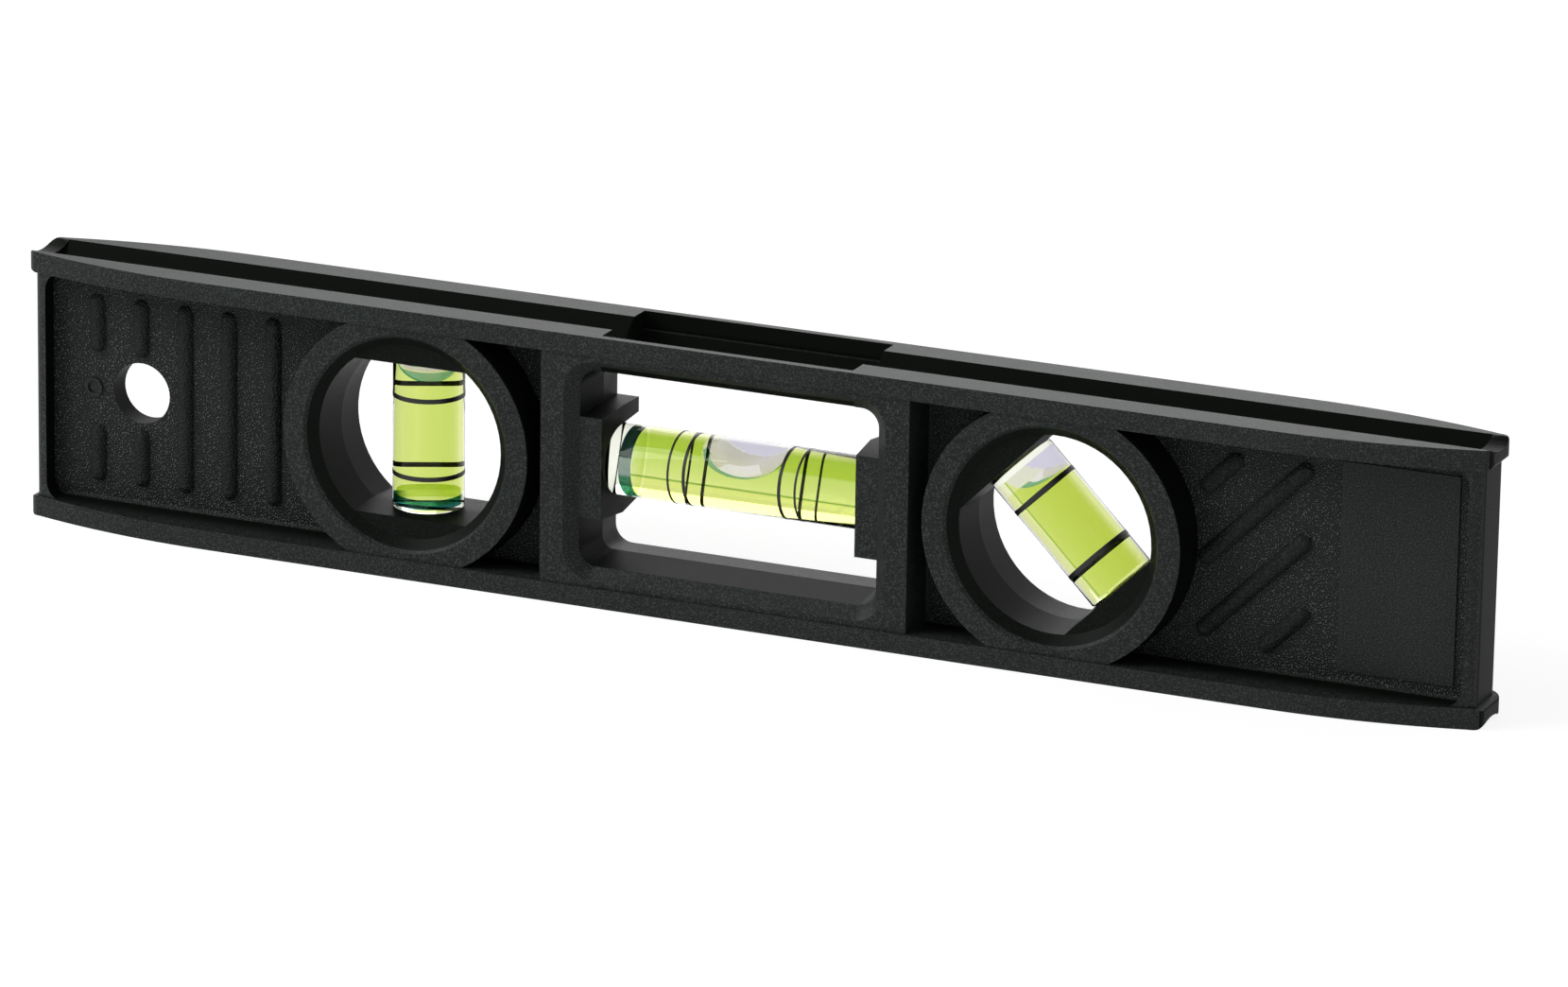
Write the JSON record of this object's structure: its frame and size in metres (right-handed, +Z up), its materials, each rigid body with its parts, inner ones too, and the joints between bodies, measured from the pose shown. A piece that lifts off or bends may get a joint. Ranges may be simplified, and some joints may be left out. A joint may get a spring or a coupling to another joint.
{
  "type": "pocket spirit level",
  "caption": "Torpedo-shaped pocket spirit level: moulded I-section body with tapered rails, a top-read level vial, a plumb vial and a 45 degree vial.",
  "frame": {"origin": "centre of the underside, on the lower working edge", "axes": "+X along the level towards the 45 degree vial, -Y towards the reader of the front face, +Z up"},
  "size_m": [0.203, 0.0154, 0.0361],
  "materials": {
    "body_shell": "moulded black ABS, fine spark-eroded grain on the faces, coarse leather grain in the panels",
    "vial_wall": "clear moulded acrylic",
    "vial_plug": "clear moulded acrylic with a bonded seam",
    "vial_liquid": "clear yellow-green liquid",
    "ring_paint": "black ring ink"
  },
  "bodies": {
    "root": {"body": "body_shell", "level_tube": "vial_wall", "level_plug": "vial_plug", "level_liquid": "vial_liquid", "level_ring_1": "ring_paint", "level_ring_2": "ring_paint", "level_ring_3": "ring_paint", "level_ring_4": "ring_paint", "plumb_tube": "vial_wall", "plumb_plug": "vial_plug", "plumb_liquid": "vial_liquid", "plumb_ring_1": "ring_paint", "plumb_ring_2": "ring_paint", "angle_tube": "vial_wall", "angle_plug": "vial_plug", "angle_liquid": "vial_liquid", "angle_ring_1": "ring_paint", "angle_ring_2": "ring_paint"}
  },
  "joints": []
}
